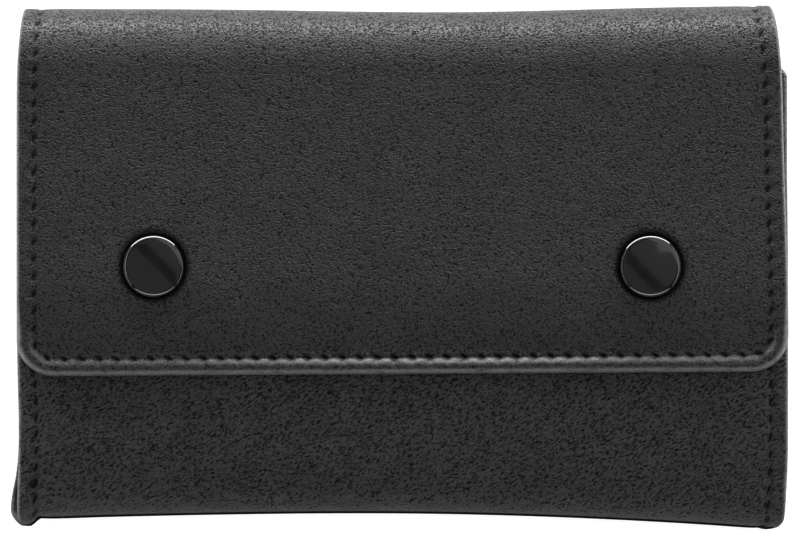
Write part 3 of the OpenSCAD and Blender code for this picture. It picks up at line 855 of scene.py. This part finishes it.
def place_front(x, s, depth):
    """A flat point of the front, folded. The flap's edge has pressed a shallow valley across it, and the
    lower part leans over, 1 mm deep, before the bottom fold begins."""
    middle = s_round + pouch_y - flap_edge_y
    valley = 0.75 * step(-middle + 13, -middle, s) * step(-middle - 12, -middle, s)
    return fold(x, s, depth + valley + 1.0 * bell(s + s_round, 5.5))


back_height, back_pit_shade = sewn(back_cut, back_stitches, side_deep, slant=0.25)
back = make_sheet("back_skin", back_cut, fold, panel_t, *seam_grid(s_top), relief=back_height,
                  painted_shade_at=back_pit_shade, tucked=0.25)
dress(back, outer, "outer_leather", "back_leather", "fold_leather")
as_sheet(back_cut)
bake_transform(back)

low_line, front_foot = (0, bottom_y * MM, pouch_r * MM), (0, pouch_y * MM, pouch_t * MM)
front_height, front_pit_shade = sewn(front_cut, front_stitches, side_deep, slant=0.25)


knot_x, knot_s = -54.7, -9.9


def front_painted_shade(x, s):
    """Painted shade: 1 in the stitches' pits, and round the knot where the left seam's thread was tied off.
    """
    return front_pit_shade(x, s) + bell(np.hypot(x - knot_x, s - knot_s), 0.75)


front = make_sheet("front_skin", front_cut, place_front, panel_t, *seam_grid(-s_front), relief=front_height,
                   painted_shade_at=front_painted_shade, tucked=0.25)
dress(front, front_nappa_lit_copy, "outer_leather", "front_leather")
as_sheet(front_cut)
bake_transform(front)


# %% [markdown]
# ## The linings
# Inside, the turned edge of the outer leather shows as a narrow border, and the lining starts a little in
# from it. A lining is a sheet again, but its fine face looks inwards.

# %% Line the strip
lining_in = 1.25


def drawn_in(panel, by):
    """A panel cut smaller on its rolled sides, for the lining of it."""
    end = (lambda a: panel.end(a)) if panel.open_end else (lambda a: panel.end(a) - by)
    start = panel.start if panel.open_start else panel.start + by
    half_round = lining_t / 2
    return Panel(lambda s: panel.left(s) + by, lambda s: panel.right(s) - by, start, end,
                 max(panel.corner - by, 0), panel.open_start, panel.open_end, rolls=(half_round, half_round))


def lining(name, panel, place, full, across, along):
    """A lining: its face is 0.05 mm proud of the panel's inner side, and its body lies behind it."""
    cut = drawn_in(panel, lining_in)
    groove = lambda x, s: -0.12 * bell(panel.inside(x, s) - seam_in, 0.5) + 0.03 * np.sin(x / 8 + s / 11)
    piece = make_sheet(name, cut, lambda x, s, d: place(x, s, full(s) + 0.05 - d), lining_t, across, along,
                       relief=groove, turned=True)
    as_sheet(cut)
    return piece


def panel_thick(s):
    """The back and the front are equally thick all over."""
    return panel_t + 0 * s


even = np.linspace
flap_inside = lining("flap_inside", flap_cut, place_flap, flap_thick, even(0, 1, 225), even(0, 1, 120))
dress(flap_inside, inner, "lining_leather", "flap_lining")
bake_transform(flap_inside)

back_inside = lining("back_inside", back_cut, fold, panel_thick, even(0, 1, 113), even(0, 1, 176))
dress(back_inside, inner, "lining_leather", "back_lining", "fold_lining")
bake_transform(back_inside)

front_inside = lining("front_inside", front_cut, place_front, panel_thick, even(0, 1, 113), even(0, 1, 148))
dress(front_inside, inner, "lining_leather", "front_lining")
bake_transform(front_inside)


# %% [markdown]
# ## The stitches
# Each stitch is a short slanted bar of thread that dives at both ends. One stitch is a tube of a few dozen
# faces, and the array of all of them is worked out at once, in flat places, and then folded with the
# leather they hold. Two short bars laid across each other are the knot that ends the left seam.

# %% Sew the seams
def sew(name, stitches, place, relief, length=1.35, width=0.4, slant=0.5, rise=0.04, side=1, turned=False):
    """One tube per stitch. Along it t runs from -1 to 1; its middle is at rise less 0.3 t4, and its radius
    shrinks to a point as the square root of 1 - t6. side is 1 on the face and -1 on the inside, and turned
    says that the place function is a mirror."""
    x, s, angle = (row[:, None, None] for row in stitches)
    t = np.linspace(-1, 1, 8)[None, :, None]
    turn = np.arange(7)[None, None, :] * 2 * math.pi / 7
    round_off = np.sqrt(1 - 0.97 * t ** 6)
    along, beside = t * length / 2, width / 2 * round_off * np.cos(turn)
    way = angle + slant
    px = x + along * np.cos(way) - beside * np.sin(way)
    ps = s + along * np.sin(way) + beside * np.cos(way)
    lift = rise - 0.3 * t ** 4 + width / 2 * 0.8 * round_off * np.sin(turn)
    points = place(px, ps, -side * (lift + relief(x + along * np.cos(way), s + along * np.sin(way))))
    count, rings, sides = px.shape
    index = np.arange(count * rings * sides).reshape(count, rings, sides)
    nxt = np.roll(index, -1, axis=2)
    walls = np.stack([index[:, :-1], index[:, 1:], nxt[:, 1:], nxt[:, :-1]], -1).reshape(-1, 4)
    ends = np.concatenate([index[:, 0, :], index[:, -1, ::-1]])
    u = (t[0, :, 0] + 1) / 2 * length
    v = np.arange(sides + 1) / sides
    uu, vv = np.broadcast_to(u[:, None], (rings, sides + 1)), np.broadcast_to(v, (rings, sides + 1))
    wall_u = np.stack([uu[:-1, :-1], uu[1:, :-1], uu[1:, 1:], uu[:-1, 1:]], -1)
    wall_v = np.stack([vv[:-1, :-1], vv[1:, :-1], vv[1:, 1:], vv[:-1, 1:]], -1)
    wall_uv = np.tile(np.stack([wall_u, wall_v], -1).reshape(-1, 2), (count, 1))
    end_uv = np.zeros((ends.size, 2))
    faces = [walls[:, ::-1], ends[:, ::-1]] if (side < 0) != turned else [walls, ends]
    return fill_mesh(name, points.reshape(-1, 3), faces, uv=np.vstack([wall_uv, end_uv]))


back_thread = sew("back_thread", back_stitches, fold, back_height, slant=0.25)
dress(back_thread, thread, "thread", "back_stitching", "fold_stitching")
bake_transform(back_thread)

front_thread = sew("front_thread", front_stitches, place_front, front_height, slant=0.25)
dress(front_thread, thread, "thread", "front_stitching")
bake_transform(front_thread)

knot_places = np.array([[knot_x, knot_x], [knot_s, knot_s], [0.35, 1.8]])
knot = sew("knot_thread", knot_places, place_front, front_height, length=1.15, width=0.6, slant=0.0,
           rise=0.16)
dress(knot, thread, "thread")
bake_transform(knot)

flap_thread = sew("flap_thread", flap_stitches, place_flap, flap_relief, slant=0.5)
dress(flap_thread, thread, "thread", "flap_stitching")
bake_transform(flap_thread)


def place_flap_inside(x, s, depth):
    """A flat point at a depth under the face of the flap's lining."""
    return place_flap(x, s, flap_thick(s) + 0.05 + depth)


flap_lower_thread = sew("flap_inner_thread", flap_stitches, place_flap_inside,
                        lambda x, s: 0 * x - 0.1, slant=-0.5, side=-1)
dress(flap_lower_thread, thread, "thread")
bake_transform(flap_lower_thread)


# %% [markdown]
# ## The gussets
# A gusset is a bellows: one strip of thin leather pleated so that each compartment has a fold that points
# inwards, with ridges that pass outside the dividers' edges. Its section is a line through those folds
# with rounded bends, given a thickness, and carried from the round of the bottom fold up to its top edge.

# %% Pleat the gussets
gusset_top = corners("gusset_left")[1][1]
rear_low, rear_high = corners("rear_divider_lining")[0][2], corners("rear_divider_leather")[1][2]
fore_low, fore_high = corners("front_divider_lining")[0][2], corners("front_divider_leather")[1][2]
front_in = pouch_t - panel_t
gusset_t = 0.4


def pleat_line(count=150):
    """The middle line of the pleats: depth in from the holder's side, and height. Corners are rounded by
    running a bell-weighted average along the line."""
    lean = gusset_t / 2
    ridge = corners("rear_divider_leather")[0][0] + half_w - 0.35
    slim, deep, flange, edge = 7.0, 10.8, 3.4, 0.75
    turns = np.array([
        (edge, panel_t + lean), (flange, panel_t + lean), (slim, (panel_t + rear_low) / 2),
        (ridge, rear_low - lean), (ridge, rear_high + lean), (deep, (rear_high + fore_low) / 2),
        (ridge, fore_low - lean), (ridge, fore_high + lean), (slim, (fore_high + front_in) / 2),
        (flange, front_in - lean), (edge, front_in - lean)])
    length = np.concatenate([[0], np.cumsum(np.hypot(*np.diff(turns, axis=0).T))])
    at = np.linspace(0, length[-1], count)
    raw = np.stack([np.interp(at, length, turns[:, 0]), np.interp(at, length, turns[:, 1])])
    kernel = bell(np.arange(-4, 5), 2.0)
    kernel /= kernel.sum()
    smooth = np.stack([np.convolve(np.pad(row, 4, mode="edge"), kernel, "valid") for row in raw])
    smooth[:, [0, -1]] = raw[:, [0, -1]]
    return smooth


def make_gusset(name, side):
    """The pleated sheet of one side. Its foot follows the lining's round, y = centre - sqrt(r2 - dz2), and
    its top edge dips towards the tips of the pleats."""
    depth, z = pleat_line()
    run_x, run_z = np.gradient(depth), np.gradient(z)
    scale = gusset_t / 2 / np.hypot(run_x, run_z)
    depth = np.concatenate([depth - run_z * scale, (depth + run_z * scale)[::-1]])
    z = np.concatenate([z + run_x * scale, (z - run_x * scale)[::-1]])
    z = np.clip(z, panel_t + 0.06, front_in - 0.06)
    r = pouch_r - panel_t - 0.15
    low = pouch_y - np.sqrt(np.clip(r * r - (z - pouch_r) ** 2, 0, None))
    high = gusset_top - 0.25 * depth + 0.6 * bell(z - pouch_r, 4)
    v = np.linspace(0, 1, 60)[:, None]
    sway = 0.25 * np.sin(v * 9 + z / 3) * step(3, 9, depth)
    y = low + v * (high - low)
    points = settle(np.stack([side * (half_w - 0.15 - depth - sway), y, z + 0 * y], -1)).reshape(-1, 3)
    rows, ring = y.shape
    index = np.arange(rows * ring).reshape(rows, ring)
    nxt = np.roll(index, -1, axis=1)
    walls = np.stack([index[:-1], index[1:], nxt[1:], nxt[:-1]], -1).reshape(-1, 4)
    half = ring // 2
    ends = []
    for row, flip in ((0, False), (rows - 1, True)):
        one, other = index[row, :half], index[row, :half - 1:-1]
        cap = np.stack([one[:-1], one[1:], other[1:], other[:-1]], -1)
        ends.append(cap[:, ::-1] if flip else cap)
    faces = [walls, *ends]
    if side < 0:
        faces = [f[:, ::-1] for f in faces]
    run = np.concatenate([np.linspace(0, 60, half), np.linspace(60, 0, half)])
    flat = np.stack([np.broadcast_to(run, y.shape), y], -1).reshape(-1, 2)
    piece = fill_mesh(name, points, faces, uv=flat[np.concatenate([f.ravel() for f in faces])])
    dress(piece, pleat, "gusset_leather")
    line, tall = pleat_line(), float(np.mean(high - low)) * MM
    long = float(np.hypot(*np.diff(line, axis=1)).sum()) * MM
    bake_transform(piece)
    return piece


for side, word in ((-1, "left"), (1, "right")):
    gusset = make_gusset(f"gusset_pleats_{word}", side)
    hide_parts(f"gusset_{word}")
    print(gusset.name, len(gusset.data.polygons), "faces")


# %% [markdown]
# ## The dividers
# Two dividers make three compartments. Each is two plies pasted back to back, with a stitched line under
# its top edge. They are flat sheets, so they are placed by height and not by the strip's line.

# %% Make the dividers
def divider_panel(node):
    """The cut of a divider's ply: the rectangle of its CAD box, with rounded corners."""
    low, high = corners(node)
    return Panel(lambda s: low[0] + 0 * s, lambda s: high[0] + 0 * s, low[1], lambda a: high[1] + 0 * a,
                 3.0, rolls=(0.25, 0.25))


for body in ("rear_divider", "front_divider"):
    for node, up, stuff, slot in ((f"{body}_leather", 1, outer, "divider_leather"),
                                  (f"{body}_lining", -1, inner, "lining_leather")):
        low, high = corners(node)
        cut, ply = divider_panel(node), high[2] - low[2]
        face = high[2] if up > 0 else low[2]
        lay = lambda x, s, d, face=face, up=up: settle(np.stack([x, s, face - up * d + 0 * x], -1))
        seam = along_path(np.linspace(low[0] + 4, high[0] - 4, 50), np.full(50, high[1] - 1.6))
        dip = lambda x, s, seam=seam, top=high[1]: (
            -0.07 * bell(s - top + 1.6, 0.35) - 0.12 * near(x, s, seam, 0.6, 0.35))
        rows = spaced((high[1] - low[1] - 4, 3.0), (4, 0.25))
        # Painted shade in the pits of the stitched line under the divider's top edge.
        piece = make_sheet(f"{node}_ply", cut, lay, ply, even(0, 1, 218), rows, relief=dip,
                           painted_shade_at=lambda x, s, seam=seam: near(x, s, seam, 0.6, 0.25), turned=up > 0)
        dress(piece, stuff, slot, node)
        as_sheet(cut)
        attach(piece, body)
        row = sew(f"{node}_thread", seam, lay, dip, width=0.34, slant=0.25, turned=up > 0)
        dress(row, thread, "thread")
        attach(row, body)


# %% [markdown]
# ## The snaps
# Caps, sockets, studs and posts are turned parts: a profile of radius and height, spun round the snap's
# axis. The cap's face is very slightly domed and ends in a bevel of about 30 degrees, which mirrors the
# low strips of light as a bright ring.

# %% Turn a profile
def arc(centre_r, centre_z, radius, start, end, count=8):
    """Points of an arc in the profile, by its centre, its radius and two angles in degrees."""
    t = np.radians(np.linspace(start, end, count))
    return np.stack([centre_r + radius * np.cos(t), centre_z + radius * np.sin(t)], -1)


def turned_part(name, profile, body, material, slot, node, sides=72):
    """Two copies of a turned profile, one at each snap. A profile that starts and ends on the axis closes at
    poles; any other one closes on itself."""
    profile = np.vstack([np.atleast_2d(p) for p in profile])
    poles = profile[0, 0] < 1e-6 and profile[-1, 0] < 1e-6
    body_rows = profile[1:-1] if poles else profile
    t = np.arange(sides) * 2 * math.pi / sides
    r, z = body_rows[:, :1], body_rows[:, 1:]
    one = np.stack([r * np.cos(t), r * np.sin(t), z + 0 * t], -1).reshape(-1, 3)
    index = np.arange(len(body_rows) * sides).reshape(-1, sides)
    if not poles:
        index = np.vstack([index, index[:1]])
    nxt = np.roll(index, -1, axis=1)
    walls = np.stack([index[:-1], nxt[:-1], nxt[1:], index[1:]], -1).reshape(-1, 4)
    faces = [walls]
    if poles:
        one = np.vstack([one, [[0, 0, profile[0, 1]], [0, 0, profile[-1, 1]]]])
        south, north = np.full(sides, len(one) - 2), np.full(sides, len(one) - 1)
        faces = [walls, np.stack([south, nxt[0], index[0]], -1), np.stack([north, index[-1], nxt[-1]], -1)]
    both = np.vstack([one + [side * snap_x, snap_y, 0] for side in (-1, 1)])
    faces = [np.vstack([f, f + len(one)]) for f in faces]
    piece = fill_mesh(name, both, faces)
    dress(piece, material, slot, node)
    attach(piece, body)
    print(f"{name}: {len(piece.data.polygons)} faces")
    return piece


# %% Caps
cap_foot, rim_r = closed_t - 0.42, 0.14
bevel_in, bevel_drop = 0.48, 0.27
cap_top = cap_high[2]
dome = [(r, cap_top - 0.16 * (r / cap_r) ** 2) for r in even(0, cap_r - bevel_in, 14)]
edge_z = dome[-1][1]
cap_profile = [
    (0, closed_t - 0.6), (1.5, closed_t - 0.6), (1.55, cap_foot), (cap_r - 0.3, cap_foot),
    arc(cap_r - 0.16, cap_foot + 0.14, 0.14, -90, 0, 5),
    arc(cap_r - rim_r, edge_z - bevel_drop - rim_r * 0.8, rim_r, 0, 55, 7),
    (cap_r - 0.1, edge_z - 0.215), (cap_r - 0.27, edge_z - 0.108), (cap_r - 0.42, edge_z - 0.026),
    dome[::-1]]
turned_part("snap_cap_faces", cap_profile, "flap", black_cap, "cap_enamel", "snap_caps", sides=96)


# %% Sockets and their springs
socket_low, socket_high = corners("snap_sockets")
socket_r = (socket_high[1] - socket_low[1]) / 2
spring_low, spring_high = corners("snap_springs")
wire_r = (spring_high[2] - spring_low[2]) / 2
wire_z = (spring_high[2] + spring_low[2]) / 2
ring_r = (spring_high[1] - spring_low[1]) / 2 - wire_r
mouth_r, roof_z = 2.85, socket_high[2] - 0.4
socket_profile = [
    (1.6, socket_high[2]), (1.6, roof_z), (mouth_r, roof_z), (mouth_r, wire_z + 0.34),
    (mouth_r + 0.5, wire_z + 0.32), (mouth_r + 0.5, wire_z - 0.32), (mouth_r, wire_z - 0.34),
    (mouth_r, socket_low[2] + 0.12),
    arc(mouth_r + 0.12, socket_low[2] + 0.12, 0.12, 180, 270, 5)[1:],
    arc(socket_r - 0.35, socket_low[2] + 0.35, 0.35, 270, 360, 8), (socket_r, socket_high[2])]
turned_part("snap_socket_cups", socket_profile, "flap", dark_nickel, "snap_steel", "snap_sockets")


def spring_rings():
    """A wire circle with a gap: angle from 12 to 348 degrees, and a small circle carried along it."""
    rings, sides = 70, 10
    t = np.radians(even(12, 348, rings))[:, None]
    turn = np.arange(sides) * 2 * math.pi / sides
    r = ring_r + wire_r * np.cos(turn)
    one = np.stack([r * np.cos(t), r * np.sin(t), wire_z + wire_r * np.sin(turn) + 0 * t], -1)
    index = np.arange(rings * sides).reshape(rings, sides)
    nxt = np.roll(index, -1, axis=1)
    walls = np.stack([index[:-1], index[1:], nxt[1:], nxt[:-1]], -1).reshape(-1, 4)
    ends = np.stack([index[0], index[-1, ::-1]])
    both = np.vstack([one.reshape(-1, 3) + [side * snap_x, snap_y, 0] for side in (-1, 1)])
    return fill_mesh("snap_spring_rings", both, [np.vstack([f, f + rings * sides]) for f in (walls, ends)])


springs = dress(spring_rings(), spring_steel, "spring_steel", "snap_springs")
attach(springs, "flap")


# %% Studs and posts
stud_low, stud_high = corners("snap_studs")
stud_r = (stud_high[1] - stud_low[1]) / 2
neck_r, head_r, foot_z = 1.85, 2.3, stud_low[2] - 0.2
stud_profile = [
    (0, foot_z), (stud_r, foot_z), arc(stud_r - 0.2, stud_low[2] + 0.15, 0.2, 0, 90, 6),
    (neck_r + 0.5, stud_low[2] + 0.36), (neck_r + 0.1, stud_low[2] + 0.5), (neck_r, stud_low[2] + 0.8),
    (neck_r, stud_high[2] - 0.62), arc(head_r - 0.2, stud_high[2] - 0.4, 0.2, -60, 40, 6),
    arc(head_r - 0.5, stud_high[2] - 0.45, 0.45, 50, 90, 5), (0.8, stud_high[2] - 0.02),
    (0.6, stud_high[2] - 0.12), (0, stud_high[2] - 0.14)]
turned_part("snap_stud_heads", stud_profile, "front", dark_nickel, "snap_steel", "snap_studs")

post_low, post_high = corners("snap_posts")
post_r = (post_high[1] - post_low[1]) / 2
post_profile = [
    (0, post_low[2]), (post_r - 0.3, post_low[2]),
    arc(post_r - 0.18, post_low[2] + 0.18, 0.18, -90, 90, 9), (1.4, post_low[2] + 0.4),
    (1.4, pouch_t - 0.3), (0, pouch_t - 0.3)]
turned_part("snap_post_flanges", post_profile, "front", dark_nickel, "snap_steel", "snap_posts")


# %% [markdown]
# ## The table, the light and the camera
# A small black object needs light that it can mirror. A wide soft box low beyond the top fold puts the
# bright band on it, and a large dim one high up lifts the grain of the flap. Two dim cards overhead leave a
# gap between them, which the caps mirror as a dark streak. Four strips, about 30 degrees up on each side,
# draw the rolled rim and the ring on the caps. The table is plain and pale, and gives off an even light of
# its own, so that it stays white right up to the holder. The camera looks straight down.

# %% Table
def make_table():
    """A pale flat sheet far wider than the view, evenly aglow."""
    half = 1500.0
    under = -0.02
    flat = np.array([(-half, -half), (half, -half), (half, half), (-half, half)])
    points = np.column_stack([flat, np.full(4, under)])
    table = fill_mesh("table", points, [np.array([[0, 1, 2, 3]])])
    pale = Recipe("pale_table", Roughness=0.9, Emission_Color=(1.0, 1.0, 1.0, 1.0),
                  Emission_Strength=0.8)
    grain = pale.noise(pale.place(), 0.02, 3.0)
    colour = pale.shade(grain, (0.6, 0.6, 0.6), (0.63, 0.63, 0.63))
    table.data.materials.append(pale.finish(Base_Color=colour))
    return table


make_table()


# %% Lights
def soft_box(name, place, aim, width, height, glow, turn=0.0):
    """An area light at a place in millimetres, facing a point, turned about its own axis. Its power is its
    brightness times pi times its area, so that the glow is what a mirror would show of it."""
    data = bpy.data.lights.new(name, "AREA")
    data.shape, data.size, data.size_y = "RECTANGLE", width * MM, height * MM
    data.energy = glow * math.pi * width * height * MM * MM
    lamp = bpy.data.objects.new(name, data)
    bpy.context.scene.collection.objects.link(lamp)
    lamp.location = Vector(place) * MM
    facing = (Vector(aim) - Vector(place)).to_track_quat("-Z", "Y")
    lamp.rotation_euler = (facing @ Quaternion((0, 0, 1), turn)).to_euler()
    return lamp


soft_box("far_box", (-40, 520, 72), (0, 20, 10), 1100, 140, 18.0)
soft_box("sky_box", (560, 560, 900), (0, 0, 0), 1200, 1200, 0.7, turn=math.pi / 4)
soft_box("dim_card", (330, 330, 1000), (330, 330, 0), 900, 900, 0.25, turn=math.pi / 4)
soft_box("low_card", (-340, -340, 1000), (-340, -340, 0), 900, 900, 0.2, turn=math.pi / 4)
soft_box("near_strip", (0, -600, 376), (0, -20, 10), 1100, 110, 4.8)
soft_box("far_strip", (0, 600, 346), (0, 20, 10), 1100, 40, 3.0)
soft_box("left_strip", (-620, 0, 346), (-40, 0, 10), 1000, 60, 4.5)
soft_box("right_strip", (620, 0, 346), (40, 0, 10), 1000, 60, 4.5)
world = bpy.data.worlds.new("studio")
world.use_nodes = True
world.node_tree.nodes["Background"].inputs["Color"].default_value = (1, 1, 1, 1)
world.node_tree.nodes["Background"].inputs["Strength"].default_value = 0.1
bpy.context.scene.world = world


# %% Camera
def straight_down(width_seen, at_height, middle, height):
    """A long lens straight above, whose picture is as wide as width_seen at a height over the table."""
    data = bpy.data.cameras.new("camera")
    data.sensor_width = 36
    data.lens = data.sensor_width * (height - at_height) / width_seen
    data.clip_start, data.clip_end = 0.05, 10
    camera = bpy.data.objects.new("camera", data)
    bpy.context.scene.collection.objects.link(camera)
    camera.location = (middle[0] * MM, middle[1] * MM, height * MM)
    bpy.context.scene.camera = camera
    return data.lens


lens = straight_down(width_seen=118.4, at_height=13, middle=(-0.3, -0.75), height=2400)
bpy.context.scene.view_settings.view_transform = "Standard"
print(f"a {lens:.0f} mm lens, 2.4 m above the table")
